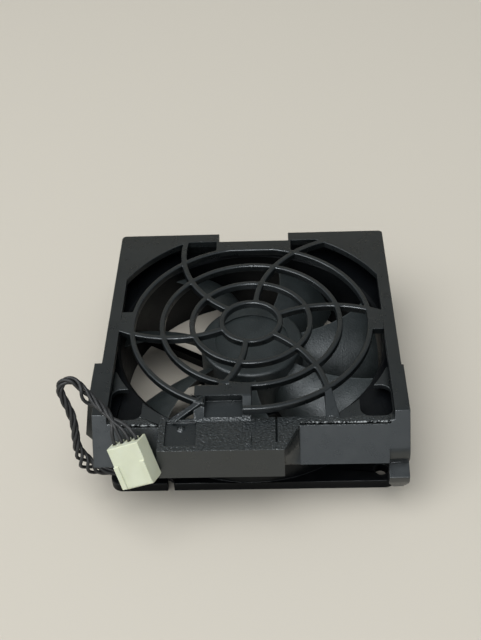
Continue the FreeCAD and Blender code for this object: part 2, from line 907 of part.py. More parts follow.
def pole_plan(z_low, z_high):
    """The four-pole outline of the laminations, as tall as asked."""
    ring_outer = tube_radius + core_ring_wall
    hub = cylinder(ring_outer, z_low, z_high)
    neck = box(0, core_radius - pole_tip_thick / 2, -pole_neck_width / 2, pole_neck_width / 2, z_low, z_high)
    reach = core_radius * 2
    half = math.radians(pole_tip_span / 2)
    wedge = upright([(0, 0), (reach * math.cos(half), -reach * math.sin(half)), (reach, 0),
                     (reach * math.cos(half), reach * math.sin(half))], z_low, z_high)
    tip = ring(core_radius - pole_tip_thick, core_radius, z_low, z_high).common(wedge)
    pole = neck.fuse(tip)
    return fused([hub] + around(pole, pole_count)).cut(cylinder(tube_radius, z_low, z_high))


def coil_windings():
    inner_low = insulator_low - coil_slack
    inner_high = insulator_high + coil_slack
    inner_half_width = pole_neck_width / 2 + coil_slack
    outer_half_width = inner_half_width + coil_side
    start = tube_radius + core_ring_wall + coil_slack
    stop = math.sqrt((core_radius - pole_tip_thick - coil_slack) ** 2 - outer_half_width ** 2)
    outer = box(start, stop, -outer_half_width, outer_half_width,
                inner_low - coil_build, inner_high + coil_build)
    long_edges = edges_where(outer, lambda limits: max(limits.YLength, limits.ZLength) < flat_limit)
    outer = outer.makeFillet(coil_corner_radius, long_edges)
    inner = box(start, stop, -inner_half_width, inner_half_width, inner_low, inner_high)
    return Part.makeCompound(around(outer.cut(inner), pole_count))


def pin_places():
    circle = core_radius - pole_tip_thick / 2
    return [polar(circle, 360.0 / pole_count * n + pin_turn) for n in range(pole_count)]


def square_pin(place, side, z_low, z_high):
    return box(place.x - side / 2, place.x + side / 2, place.y - side / 2, place.y + side / 2, z_low, z_high)


def winding_pins():
    return Part.makeCompound([square_pin(place, pin_side, board_low - pin_tail, insulator_low)
                              for place in pin_places()])


def circuit_board():
    board = ring(boss_radius + fan_clearance, board_radius, board_low, board_top)
    for place in pin_places():
        board = board.cut(square_pin(place, pin_side + 2 * glue_gap, board_low, board_top))
    return board


def on_board(length, width, height, radius, degrees):
    block = box(radius - width / 2, radius + width / 2, -length / 2, length / 2,
                board_top, board_top + height)
    return turned(block, degrees)


def chip_circle():
    return (boss_radius + board_radius) / 2


def driver_chip():
    block = on_board(chip_length, chip_width, chip_height, chip_circle(), chip_turn)
    top = edges_where(block, lambda limits: limits.ZLength < flat_limit < limits.ZMin - board_top)
    return block.makeChamfer(chip_chamfer, top)


def board_components():
    capacitor = cylinder(capacitor_radius, board_top, board_top + capacitor_height,
                         polar(chip_circle(), capacitor_turn))
    resistors = [on_board(resistor_length, resistor_width, resistor_height, circle, resistor_turn)
                 for circle in (chip_circle() - resistor_length, chip_circle() + resistor_length)]
    return Part.makeCompound([capacitor] + resistors)


# Leads and connector


def motor_leads():
    """Four wires in two tiers: down from the board, along the strut channel and up the flange notch."""
    outward = polar(1, lead_strut_angle())
    sideways = polar(1, lead_strut_angle() + 90)
    first = outward * (board_post_circle - board_post_radius)
    leads = []
    for side in (-wire_pitch / 2, wire_pitch / 2):
        for tier in (0, 1):
            height = (tier + 0.5) * wire_pitch
            outside = outward * ((0.5 - tier) * wire_pitch)
            start = first - outside + sideways * side
            stop = lead_hole_place() + outside + sideways * side
            route = [(start.x, start.y, board_low), (start.x, start.y, height), (stop.x, stop.y, height),
                     (stop.x, stop.y, flange_thick)]
            leads.append(bent_tube(route, wire_diameter, lead_bend + (1 - tier) * wire_pitch)[0])
    return leads


def in_connector(shape):
    """Moves a shape drawn with X across, Y out of the face and Z from wire end to mating end."""
    placed = shape.copy()
    turn = FreeCAD.Rotation(connector_yaw, connector_tilt, connector_roll)
    place = FreeCAD.Placement(vector(connector_x, connector_y, connector_z), turn)
    placed.Placement = place.multiply(shape.Placement)
    return placed


def way_centres():
    first = connector_width / 2 - connector_pitch * (connector_ways - 1) / 2
    return [first + connector_pitch * n for n in range(connector_ways)]


def connector_housing():
    """The socket body: two guide ribs on its face, square sockets and wire entries open at its back."""
    block = box(0, connector_width, 0, connector_thick, 0, connector_length)
    mouth = edges_where(block, lambda limits: limits.ZMin > connector_length - flat_limit)
    block = block.makeChamfer(connector_chamfer, mouth)
    rib_end = connector_length - connector_chamfer
    ribs = []
    for left in (0, connector_width - connector_rib_width):
        ribs.append(box(left, left + connector_rib_width, connector_thick - connector_chamfer,
                        connector_thick + connector_rib_height, rib_end - connector_rib_length, rib_end))
    housing = fused([block] + ribs)
    middle = connector_thick / 2
    for x in way_centres():
        socket = box(x - socket_side / 2, x + socket_side / 2,
                     middle - socket_side / 2, middle + socket_side / 2, wire_hole_depth, connector_length)
        entry = box(x - wire_hole_side / 2, x + wire_hole_side / 2, 0, middle + wire_hole_side / 2,
                    0, wire_hole_depth)
        housing = housing.cut(socket).cut(entry)
    return in_connector(housing)


def crimp_terminals():
    """Four square-section contacts, each seated on the floor of its socket."""
    middle = connector_thick / 2
    floor = middle - socket_side / 2
    contacts = []
    for x in way_centres():
        body = box(x - terminal_side / 2, x + terminal_side / 2, floor, floor + terminal_side,
                   terminal_inset, terminal_inset + terminal_length)
        slot = box(x - terminal_side / 4, x + terminal_side / 4,
                   floor + terminal_side / 4, floor + terminal_side * 3 / 4,
                   terminal_inset + terminal_length / 2, terminal_inset + terminal_length)
        contacts.append(in_connector(body.cut(slot)))
    return Part.makeCompound(contacts)


def lead_bundle():
    """The free stretch of the twisted wires, as one tube, ending on the connector's wire end."""
    corner = vector(connector_x, connector_y, connector_z)
    turn = FreeCAD.Rotation(connector_yaw, connector_tilt, connector_roll)
    middle = vector(connector_width / 2, connector_thick / 2, 0)
    entry = corner + turn.multVec(middle)
    approach = corner + turn.multVec(middle - VERTICAL * bundle_approach)
    route = bundle_route + [tuple(approach), tuple(entry)]
    tube, length, radii = bent_tube(route, bundle_diameter)
    section = math.pi * bundle_diameter ** 2 / 4
    print("lead bundle", round(length, 1), "mm long, bend radii", [round(radius, 1) for radius in radii],
          "volume over section times length", round(tube.Volume / (section * length), 4))
    return tube


NODES = {
    "fan_holder": fan_holder,
    "fan_frame": fan_frame,
    "bearing_tube": bearing_tube,
    "upper_bearing_outer_race": lambda: outer_race(upper_bearing),
    "lower_bearing_outer_race": lambda: outer_race(lower_bearing),
    "upper_bearing_inner_race": lambda: inner_race(upper_bearing),
    "lower_bearing_inner_race": lambda: inner_race(lower_bearing),
    "upper_bearing_balls": lambda: ball_set(upper_bearing),
    "lower_bearing_balls": lambda: ball_set(lower_bearing),
    "shaft": shaft,
    "retaining_clip": retaining_clip,
    "preload_spring": preload_spring,
    "shaft_bush": shaft_bush,
    "rotor_yoke": rotor_yoke,
    "ring_magnet": ring_magnet,
    "impeller": impeller,
    "stator_core": lambda: pole_plan(core_low, core_top),
    "stator_lower_insulator": lambda: pole_plan(insulator_low, core_low),
    "stator_upper_insulator": lambda: pole_plan(core_top, insulator_high),
    "coil_windings": coil_windings,
    "winding_pins": winding_pins,
    "circuit_board": circuit_board,
    "driver_chip": driver_chip,
    "board_components": board_components,
    "motor_leads": lambda: Part.makeCompound(motor_leads()),
    "lead_bundle": lead_bundle,
    "connector_housing": connector_housing,
    "crimp_terminals": crimp_terminals,
}

os.makedirs("parts", exist_ok=True)
for name, make in NODES.items():
    shape = make()
    shape.exportStep("parts/" + name + ".step")
    state = "valid" if shape.isValid() else "INVALID"
    print(name, len(shape.Solids), "solids", round(shape.Volume, 1), "mm3", state)
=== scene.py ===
"""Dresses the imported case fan: finishes, softened mouldings, twisted leads, floor, light and camera."""
import json
import math

import bmesh
import bpy
from mathutils import Matrix, Vector, noise

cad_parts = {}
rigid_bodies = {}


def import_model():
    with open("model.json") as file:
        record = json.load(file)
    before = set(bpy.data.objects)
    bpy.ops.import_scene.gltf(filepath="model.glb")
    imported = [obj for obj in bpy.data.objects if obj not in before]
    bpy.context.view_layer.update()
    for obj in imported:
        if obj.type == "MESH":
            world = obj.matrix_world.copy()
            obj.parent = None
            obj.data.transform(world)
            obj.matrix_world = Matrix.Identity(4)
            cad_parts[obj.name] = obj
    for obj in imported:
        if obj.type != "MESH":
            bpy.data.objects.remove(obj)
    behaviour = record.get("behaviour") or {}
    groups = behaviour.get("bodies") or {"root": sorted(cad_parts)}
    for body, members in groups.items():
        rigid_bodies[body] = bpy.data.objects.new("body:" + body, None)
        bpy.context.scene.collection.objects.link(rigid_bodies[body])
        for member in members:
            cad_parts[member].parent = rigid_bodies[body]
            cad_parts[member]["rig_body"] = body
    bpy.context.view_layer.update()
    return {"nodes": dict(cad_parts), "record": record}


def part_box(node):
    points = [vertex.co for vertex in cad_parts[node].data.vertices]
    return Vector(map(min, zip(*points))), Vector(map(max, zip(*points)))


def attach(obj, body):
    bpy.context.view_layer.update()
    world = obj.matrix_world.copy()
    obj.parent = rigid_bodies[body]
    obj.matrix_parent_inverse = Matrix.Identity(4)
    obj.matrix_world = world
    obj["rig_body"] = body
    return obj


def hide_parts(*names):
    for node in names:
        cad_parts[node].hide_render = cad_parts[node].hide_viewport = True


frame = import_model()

MM = 0.001

# Camera, fitted to the photograph
CAMERA_PLACE = (0.00941, -0.25470, 0.26035)
CAMERA_TURN = (48.172, 2.345, 0.794)
CAMERA_LENS = 57.358
SENSOR_LONG_SIDE = 36.0

# Places on the holder that its edges and its finish depend on, in metres
PLATE_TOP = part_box("fan_holder")[1].z
PLATE_MARGIN = 0.2 * MM
GUARD_RADIUS = 0.0415
LEDGE_DROP = 3.5 * MM
LEDGE_TOP = PLATE_TOP - LEDGE_DROP
LEDGE_MARGIN = 0.1 * MM
LEDGE_REACH = 0.6 * MM
LEDGE_BACK = -0.041
LIP_BACK = -0.0435
LIP_FRONT = -0.0448
LIP_END = 0.0425
LIP_MARGIN = 0.2 * MM
LIP_REACH = 0.45 * MM

# Rounding of the mouldings' edges
SHARP_ANGLE = math.radians(24.0)
SAME_PLACE = 1e-6
ROUND_WIDEST = 1.0 * MM
ROUND_SEGMENTS = 3
WEB_ROUND = 0.55 * MM
WEB_SHORT_EDGE = 0.35 * MM
LIP_ROUND = 0.42 * MM
LIP_WALL_ROUND = 0.06 * MM
HOLDER_ROUND = 0.22 * MM
FRAME_ROUND = 0.25 * MM
CONNECTOR_ROUND = 0.2 * MM
LARGE_FACES_ONLY = 100

# Free wires: the loose twist, where it opens, and the bundle's route as in the part's source
WIRE_RADIUS = 0.55 * MM
WIRE_SIDES = 10
WIRE_COUNT = 4
WIRE_REACH = 0.78 * MM
BUNDLE_APPROACH = 3.9 * MM
TWIST_LENGTH = 16.0 * MM
TAIL_LENGTH = 12.0 * MM
LOOSE_PLACE = 32.0 * MM
LOOSE_REACH = 1.2 * MM
LOOSE_SHARE = 0.75
LOOSE_SPREAD = 0.5
BOW_PLACE = 73.0 * MM
BOW_REACH = 1.3 * MM
BOWED_WIRE = 1
STRAY_HALF_LENGTH = 9.0 * MM
WANDER_SPREAD = 0.35
WANDER_STEP = 7.3
WANDER_LAYER = 0.4
CONNECTOR_CORNER = Vector((-0.0410, -0.0497, 0.0287))
CONNECTOR_TURN = (-5.5, -24.4, 155.2)
CONNECTOR_WIDTH = 0.0106
CONNECTOR_THICKNESS = 0.0063
CONNECTOR_PITCH = 2.54 * MM
ROUTE_ORDER = 3
ROUTE_STEPS = 16
BUNDLE_ROUTE = [
    (-0.0265, -0.0426, 0.0036),
    (-0.0265, -0.0426, 0.0066),
    (-0.0300, -0.0432, 0.0092),
    (-0.0348, -0.0438, 0.0094),
    (-0.0402, -0.0442, 0.0086),
    (-0.0453, -0.0446, 0.0084),
    (-0.0493, -0.0450, 0.0096),
    (-0.0524, -0.0450, 0.0128),
    (-0.0540, -0.0448, 0.0176),
    (-0.0545, -0.0442, 0.0226),
    (-0.0543, -0.0432, 0.0269),
    (-0.0546, -0.0420, 0.0311),
    (-0.0556, -0.0410, 0.0350),
    (-0.0569, -0.0399, 0.0384),
    (-0.0576, -0.0392, 0.0412),
    (-0.0562, -0.0385, 0.0436),
    (-0.0534, -0.0383, 0.0440),
    (-0.0510, -0.0391, 0.0422),
    (-0.0486, -0.0408, 0.0397),
    (-0.0456, -0.0434, 0.0382),
    (-0.0420, -0.0468, 0.0374),
]

# Moulded plastics: worn edges, uneven polish, and less shine in hollows as painted shade
EDGE_RADIUS = 0.4 * MM
EDGE_TURN = (0.98, 0.80)
EDGE_ROUGHNESS = 0.19
EDGE_SHINE = 1.0
WEAR_SCALE = 450
WEAR_SPAN = (0.35, 0.65)
WEAR_SHARE = (0.15, 1.0)
POLISH_SCALE = 260
POLISH_SPREAD = 0.07
# Painted shade: hollows keep only this share of their shine
HOLLOW_SPAN = (0.3, 0.85)
HOLLOW_SHINE = 0.12
COOL_GLOSS = (0.92, 0.97, 1.0)

# Nylon: darker, browner corners and light that passes a little way in
CORNER_COLOUR = (0.20, 0.18, 0.12)
CORNER_REACH = 0.8 * MM
CORNER_SPAN = (0.2, 0.75)
NYLON_DEPTH = 0.8 * MM
NYLON_DEPTH_BY_COLOUR = (1.0, 0.9, 0.6)
NYLON_DEPTH_WEIGHT = 0.25

# Metals: the darker colour between the marks
METAL_SHADE = 0.78

# Floor: a level sheet that curves up behind the object
FLOOR_COLOUR = (0.575, 0.535, 0.465)
FLOOR_HALF_WIDTH = 1.6
FLOOR_FRONT = -1.2
FLOOR_TOP = 1.6
CURVE_START = 1.0
CURVE_RADIUS = 0.6
CURVE_STEPS = 12

# Room light: strongest from overhead, to the left and behind the camera
ROOM_COLOUR = (0.92, 0.995, 1.04)
ROOM_DIRECTION = (-0.45, -0.40, 0.80)
ROOM_FOCUS = 2.0
ROOM_STRENGTH = (0.25, 0.62)


# Node helpers

FULL = (0.0, 1.0)
MIDDLE = (0.3, 0.7)
NOISE_ROUGHNESS = 0.55
MIX_FACTOR = 0
MIX_VALUES = (2, 3)
MIX_VALUE_RESULT = 0
MIX_COLOURS = (6, 7)
MIX_COLOUR_RESULT = 2


def new_material(name):
    material = bpy.data.materials.new(name)
    material.use_nodes = True
    shader = material.node_tree.nodes["Principled BSDF"]
    return material, material.node_tree, shader


def feed(tree, node, inputs):
    """Links each input to the output that is given for it, or sets it to the given constant."""
    for socket, source in inputs.items():
        target = node.inputs[socket]
        if isinstance(source, bpy.types.NodeSocket):
            tree.links.new(source, target)
        elif target.type == "RGBA":
            target.default_value = (*source, 1)
        else:
            target.default_value = source


def add_node(tree, kind, inputs=None, **settings):
    node = tree.nodes.new(kind)
    for key, value in settings.items():
        setattr(node, key, value)
    if inputs:
        feed(tree, node, inputs)
    return node


def object_coordinates(tree):
    return add_node(tree, "ShaderNodeTexCoord").outputs["Object"]


def noise_field(tree, scale, detail=3.0):
    field = add_node(tree, "ShaderNodeTexNoise", {
        "Scale": scale,
        "Detail": detail,
        "Roughness": NOISE_ROUGHNESS,
        "Vector": object_coordinates(tree),
    })
    return field.outputs["Fac"]


def remap(tree, source, span, result=FULL):
    """Stretches one span of the source onto the result and holds it there outside that span."""
    node = add_node(tree, "ShaderNodeMapRange", {
        "Value": source,
        "From Min": span[0],
        "From Max": span[1],
        "To Min": result[0],
        "To Max": result[1],
    })
    return node.outputs["Result"]


def mixed_colour(tree, factor, first, second):
    inputs = {MIX_FACTOR: factor, MIX_COLOURS[0]: first, MIX_COLOURS[1]: second}
    return add_node(tree, "ShaderNodeMix", inputs, data_type="RGBA").outputs[MIX_COLOUR_RESULT]


def mixed_value(tree, factor, first, second):
    inputs = {MIX_FACTOR: factor, MIX_VALUES[0]: first, MIX_VALUES[1]: second}
    return add_node(tree, "ShaderNodeMix", inputs, data_type="FLOAT").outputs[MIX_VALUE_RESULT]


def bump(tree, shader, height, distance):
    node = add_node(tree, "ShaderNodeBump", {"Strength": 1.0, "Distance": distance, "Height": height})
    feed(tree, shader, {"Normal": node.outputs["Normal"]})


def edge_mask(tree, radius):
    """Near 1 on sharp edges, 0 on flats: how far the rounded normal turns from the true one."""
    rounded = add_node(tree, "ShaderNodeBevel", {"Radius": radius}, samples=4)
    plain = add_node(tree, "ShaderNodeNewGeometry")
    both = {0: rounded.outputs["Normal"], 1: plain.outputs["Normal"]}
    agreement = add_node(tree, "ShaderNodeVectorMath", both, operation="DOT_PRODUCT")
    return remap(tree, agreement.outputs["Value"], EDGE_TURN)


def openness(tree, distance):
    """Near 1 on open surfaces and lower in hollows."""
    node = add_node(tree, "ShaderNodeAmbientOcclusion", {"Distance": distance}, samples=8, inside=False)
    return node.outputs["AO"]


# Finishes


def moulded_plastic(name, dark, light, edge, rough, grain_scale, grain_height, shine=0.5, hollow=5 * MM,
                    cloud_scale=90, cloud_span=(0.35, 0.68)):
    """Moulded plastic: cloudy colour, fine spark grain, paler and glossier edges, and hollows dulled as
    painted shade.
    """
    material, tree, shader = new_material(name)
    clouds = remap(tree, noise_field(tree, cloud_scale, detail=4.0), cloud_span)
    body = mixed_colour(tree, clouds, dark, light)
    wear = remap(tree, noise_field(tree, WEAR_SCALE), WEAR_SPAN, WEAR_SHARE)
    both = {0: edge_mask(tree, EDGE_RADIUS), 1: wear}
    worn = add_node(tree, "ShaderNodeMath", both, operation="MULTIPLY").outputs[0]
    rough_span = (rough - POLISH_SPREAD, rough + POLISH_SPREAD)
    polish = remap(tree, noise_field(tree, POLISH_SCALE), MIDDLE, rough_span)
    # Painted shade: the shine drops in hollows by how closed in they are, so they render darker
    gloss = remap(tree, openness(tree, hollow), HOLLOW_SPAN, (HOLLOW_SHINE * shine, shine))
    feed(tree, shader, {
        "Base Color": mixed_colour(tree, worn, body, edge),
        "Roughness": mixed_value(tree, worn, polish, EDGE_ROUGHNESS),
        "Specular IOR Level": mixed_value(tree, worn, gloss, EDGE_SHINE),
        "Specular Tint": COOL_GLOSS,
    })
    bump(tree, shader, noise_field(tree, grain_scale, detail=2.0), grain_height)
    return material


def holder_plastic():
    return moulded_plastic(
        "holder_plastic", dark=(0.0042, 0.0055, 0.0058), light=(0.0066, 0.0082, 0.0086),
        edge=(0.022, 0.026, 0.027), rough=0.32, grain_scale=2600, grain_height=0.03 * MM, shine=0.90)


def holder_grain_and_painted_glints():
    """The coarse spark texture on the label platform and the ledge: real grain in the bump, and pale
    specks painted in as glints on it.
    """
    return moulded_plastic(
        "holder_grain_and_painted_glints", dark=(0.0015, 0.0020, 0.0022), light=(0.022, 0.0255, 0.0260),
        edge=(0.040, 0.045, 0.045), rough=0.26, grain_scale=1500, grain_height=0.44 * MM, shine=1.0,
        cloud_scale=1500)


def holder_lip_painted_glints():
    """The ledge's front edge, with short pale dashes painted on as its highlights."""
    return moulded_plastic(
        "holder_lip_painted_glints", dark=(0.0015, 0.0020, 0.0022), light=(0.40, 0.42, 0.42),
        edge=(0.06, 0.063, 0.063), rough=0.24, grain_scale=1500, grain_height=0.30 * MM,
        cloud_scale=900, cloud_span=(0.50, 0.60))


def frame_plastic():
    return moulded_plastic(
        "frame_plastic", dark=(0.0018, 0.0022, 0.0028), light=(0.0028, 0.0033, 0.0040),
        edge=(0.010, 0.0105, 0.011), rough=0.40, grain_scale=2200, grain_height=0.025 * MM, shine=0.25,
        hollow=12 * MM)


def impeller_plastic():
    return moulded_plastic(
        "impeller_plastic", dark=(0.013, 0.0170, 0.0175), light=(0.023, 0.0290, 0.0295),
        edge=(0.05, 0.058, 0.058), rough=0.47, grain_scale=1700, grain_height=0.12 * MM, shine=1.0,
        hollow=14 * MM)


def magnet_ferrite():
    """Pressed ferrite, dull and dark, with the same worn edges as the plastics."""
    return moulded_plastic(
        "magnet_ferrite", dark=(0.035, 0.032, 0.03), light=(0.055, 0.052, 0.05),
        edge=(0.08, 0.078, 0.075), rough=0.7, grain_scale=1800, grain_height=0.04 * MM)


def component_body():
    return moulded_plastic(
        "component_body", dark=(0.012, 0.012, 0.012), light=(0.02, 0.02, 0.02),
        edge=(0.05, 0.05, 0.05), rough=0.55, grain_scale=3500, grain_height=0.01 * MM)


def metal(name, colour, rough, stretch, depth):
    """Metal with fine marks. They run round the fan's axis where the stretch is largest along it."""
    material, tree, shader = new_material(name)
    drawn = add_node(tree, "ShaderNodeMapping", {"Scale": stretch, "Vector": object_coordinates(tree)})
    inputs = {"Scale": 1.0, "Detail": 4.0, "Vector": drawn.outputs["Vector"]}
    marks = add_node(tree, "ShaderNodeTexNoise", inputs).outputs["Fac"]
    shade = tuple(part * METAL_SHADE for part in colour)
    smoothest = rough - 0.08
    roughest = rough + 0.1
    feed(tree, shader, {
        "Base Color": mixed_colour(tree, marks, shade, colour),
        "Roughness": remap(tree, marks, MIDDLE, (smoothest, roughest)),
        "Metallic": 1.0,
    })
    bump(tree, shader, marks, depth)
    return material


def bearing_steel():
    return metal("bearing_steel", colour=(0.60, 0.60, 0.62), rough=0.22, stretch=(300, 300, 6000),
                 depth=0.004 * MM)


def spring_steel():
    return metal("spring_steel", colour=(0.46, 0.46, 0.48), rough=0.32, stretch=(2500, 2500, 2500),
                 depth=0.006 * MM)


def yoke_steel():
    return metal("yoke_steel", colour=(0.43, 0.44, 0.46), rough=0.35, stretch=(400, 400, 4000),
                 depth=0.006 * MM)


def tube_brass():
    return metal("tube_brass", colour=(0.74, 0.55, 0.26), rough=0.28, stretch=(300, 300, 5000),
                 depth=0.005 * MM)


def core_steel():
    """Stacked laminations: fine level lines."""
    return metal("core_steel", colour=(0.33, 0.33, 0.35), rough=0.42, stretch=(60, 60, 9000),
                 depth=0.02 * MM)


def terminal_tin():
    return metal("terminal_tin", colour=(0.62, 0.61, 0.58), rough=0.3, stretch=(1500, 1500, 1500),
                 depth=0.004 * MM)


def winding_copper():
    """Enamelled wire laid in turns: a close ridge across the coil, with painted shade between the turns.
    """
    material, tree, shader = new_material("winding_copper")
    # Painted shade: the copper is darker in the creases between turns
    painted_shade_between_turns = (0.24, 0.075, 0.03)
    on_turns = (0.62, 0.25, 0.10)
    turn_height = 0.08 * MM
    inputs = {"Scale": 1300, "Distortion": 1.2, "Vector": object_coordinates(tree)}
    turns = add_node(tree, "ShaderNodeTexWave", inputs, wave_type="RINGS", rings_direction="Z",
                     wave_profile="SIN").outputs["Fac"]
    feed(tree, shader, {
        "Base Color": mixed_colour(tree, turns, painted_shade_between_turns, on_turns),
        "Metallic": 0.85,
        "Roughness": 0.3,
    })
    bump(tree, shader, turns, turn_height)
    return material


def board_laminate():
    """Green solder mask with copper runs that show through it."""
    material, tree, shader = new_material("board_laminate")
    mask_colour = (0.012, 0.075, 0.028)
    run_colour = (0.03, 0.16, 0.055)
    run_edge = (0.08, 0.12)
    run_height = 0.03 * MM
    inputs = {"Scale": 260, "Vector": object_coordinates(tree)}
    cells = add_node(tree, "ShaderNodeTexVoronoi", inputs, feature="DISTANCE_TO_EDGE")
    runs = remap(tree, cells.outputs["Distance"], run_edge, (1.0, 0.0))
    feed(tree, shader, {
        "Base Color": mixed_colour(tree, runs, mask_colour, run_colour),
        "Roughness": 0.3,
        "Coat Weight": 0.4,
    })
    bump(tree, shader, runs, run_height)
    return material


def nylon(name, pale, warm, rough):
    """Natural nylon: slightly see-through, waxy, with faint flow clouds, darker and browner in its
    corners.
    """
    material, tree, shader = new_material(name)
    clouds = remap(tree, noise_field(tree, scale=160), MIDDLE)
    # Darker and browner where ambient occlusion finds corners
    away_from_corners = remap(tree, openness(tree, CORNER_REACH), CORNER_SPAN)
    wax = noise_field(tree, scale=500, detail=2.0)
    smoothest = rough - 0.06
    roughest = rough + 0.08
    grain_height = 0.015 * MM
    feed(tree, shader, {
        "Base Color": mixed_colour(tree, away_from_corners, CORNER_COLOUR, mixed_colour(tree, clouds, pale, warm)),
        "Roughness": remap(tree, wax, MIDDLE, (smoothest, roughest)),
        "Subsurface Weight": NYLON_DEPTH_WEIGHT,
        "Subsurface Radius": NYLON_DEPTH_BY_COLOUR,
        "Subsurface Scale": NYLON_DEPTH,
    })
    bump(tree, shader, noise_field(tree, scale=1500, detail=2.0), grain_height)
    return material


def connector_nylon():
    return nylon("connector_nylon", pale=(0.67, 0.70, 0.55), warm=(0.61, 0.635, 0.485), rough=0.42)


def insulator_nylon():
    return nylon("insulator_nylon", pale=(0.74, 0.73, 0.66), warm=(0.68, 0.66, 0.58), rough=0.5)


def wire_insulation():
    """Thin black sleeve with a soft gloss and dusty lighter streaks."""
    material, tree, shader = new_material("wire_insulation")
    black = (0.010, 0.0105, 0.0115)
    dusty = (0.024, 0.025, 0.026)
    streak_span = (0.4, 0.7)
    rough_span = (0.50, 0.66)
    grain_height = 0.02 * MM
    streaks = remap(tree, noise_field(tree, scale=700), streak_span)
    feed(tree, shader, {
        "Base Color": mixed_colour(tree, streaks, black, dusty),
        "Roughness": remap(tree, noise_field(tree, scale=900, detail=2.0), MIDDLE, rough_span),
    })
    bump(tree, shader, noise_field(tree, scale=1800, detail=2.0), grain_height)
    return material


FINISH_MAKERS = (
    holder_plastic, holder_grain_and_painted_glints, holder_lip_painted_glints, frame_plastic, impeller_plastic, bearing_steel, spring_steel,
    yoke_steel, tube_brass, core_steel, winding_copper, magnet_ferrite, board_laminate, component_body,
    connector_nylon, insulator_nylon, wire_insulation, terminal_tin,
)
FINISHES = {make.__name__: make() for make in FINISH_MAKERS}
SLOT_OF = {row["node"]: row["material_slot"] for row in frame["record"]["subparts"]}


def dress_nodes():
    """Every CAD node takes the finish of its slot."""
    for name, node in frame["nodes"].items():
        node.data.materials.clear()
        node.data.materials.append(FINISHES[SLOT_OF[name]])


# Softened mouldings


def link(obj):
    bpy.context.scene.collection.objects.link(obj)
    return obj


def evaluated_mesh(obj):
    """A mesh of the object as its modifiers or its curve settings shape it."""
    bpy.context.view_layer.update()
    graph = bpy.context.evaluated_depsgraph_get()
    return bpy.data.meshes.new_from_object(obj.evaluated_get(graph))


def weigh_edges(mesh, width_of):
    """Gives each sharp edge the share of the widest rounding that its place and length ask for."""
    work = bmesh.new()
    work.from_mesh(mesh)
    bmesh.ops.remove_doubles(work, verts=work.verts, dist=SAME_PLACE)
    weights = work.edges.layers.float.new("bevel_weight_edge")
    for edge in work.edges:
        if len(edge.link_faces) == 2 and edge.calc_face_angle(0) > SHARP_ANGLE:
            middle = (edge.verts[0].co + edge.verts[1].co) / 2
            edge[weights] = width_of(middle, edge.calc_length()) / ROUND_WIDEST
    work.to_mesh(mesh)
    work.free()


def softened(name, node, width_of):
    """A copy of a CAD node with its sharp edges rounded, which takes that node's place."""
    mesh = frame["nodes"][node].data.copy()
    weigh_edges(mesh, width_of)
    mesh.shade_smooth()
    piece = link(bpy.data.objects.new(name, mesh))
    bevel = piece.modifiers.new("round", "BEVEL")
    bevel.limit_method = "WEIGHT"
    bevel.width = ROUND_WIDEST
    bevel.segments = ROUND_SEGMENTS
    bevel.use_clamp_overlap = False
    bevel.miter_outer = "MITER_ARC"
    # The large faces set the normals at their corners, so that flats stay flat beside the rounding
    even = piece.modifiers.new("even", "WEIGHTED_NORMAL")
    even.mode = "FACE_AREA"
    even.weight = LARGE_FACES_ONLY
    rounded = evaluated_mesh(piece)
    piece.modifiers.clear()
    piece.data = rounded
    bpy.data.meshes.remove(mesh)
    rounded.name = name
    rounded.materials.clear()
    rounded.materials.append(FINISHES[SLOT_OF[node]])
    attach(piece, frame["nodes"][node]["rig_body"])
    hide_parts(node)
    return piece


def one_width(width):
    """The rule for a moulding whose edges are all rounded alike."""
    return lambda place, length: width


def holder_edge(place, length):
    """Wide on the web's long edges and on the ledge's lip, very fine on the thin wall before that lip."""
    if place.z > PLATE_TOP - PLATE_MARGIN and math.hypot(place.x, place.y) < GUARD_RADIUS:
        return WEB_ROUND if length > WEB_SHORT_EDGE else 0
    if abs(place.z - LEDGE_TOP) < LEDGE_MARGIN and LIP_FRONT < place.y < LIP_BACK:
        return LIP_ROUND if place.y > LIP_BACK - LIP_MARGIN else LIP_WALL_ROUND
    return HOLDER_ROUND


def add_finish(mesh, finish):
    """Adds a finish to a mesh and gives the index by which its faces can take it."""
    mesh.materials.append(FINISHES[finish])
    return len(mesh.materials) - 1


def dress_holder():
    """The softened holder, with spark grain and painted glints on its ledge and platform, and pale
    highlight dashes painted on its front lip.
    """
    mesh = softened("holder_moulding", "fan_holder", holder_edge).data
    grain_and_painted_glints = add_finish(mesh, "holder_grain_and_painted_glints")
    painted_glints = add_finish(mesh, "holder_lip_painted_glints")
    level = 0.6
    slanted = 0.2
    for face in mesh.polygons:
        on_ledge = abs(face.center.z - LEDGE_TOP) < LEDGE_REACH and face.center.y < LEDGE_BACK
        on_lip = abs(face.center.x) < LIP_END and abs(face.center.y - LIP_BACK) < LIP_REACH
        # The lip's faces that look up and forward take pale dashes painted on as highlights
        if on_ledge and on_lip and face.normal.z > slanted and face.normal.y < -slanted:
            face.material_index = painted_glints
        elif on_ledge and face.normal.z > level:
            # Ledge and platform tops: real grain, plus pale specks that are painted glints
            face.material_index = grain_and_painted_glints


# Leads


def smooth_route(points):
    """Points along the NURBS line that has the route as its control points."""
    curve = bpy.data.curves.new("route", "CURVE")
    curve.dimensions = "3D"
    curve.resolution_u = ROUTE_STEPS
    spline = curve.splines.new("NURBS")
    spline.points.add(len(points) - 1)
    for point, place in zip(spline.points, points):
        point.co = (*place, 1)
    spline.order_u = ROUTE_ORDER
    spline.use_endpoint_u = True
    carrier = link(bpy.data.objects.new("route", curve))
    mesh = evaluated_mesh(carrier)
    line = [vertex.co.copy() for vertex in mesh.vertices]
    bpy.data.objects.remove(carrier)
    bpy.data.curves.remove(curve)
    bpy.data.meshes.remove(mesh)
    return line


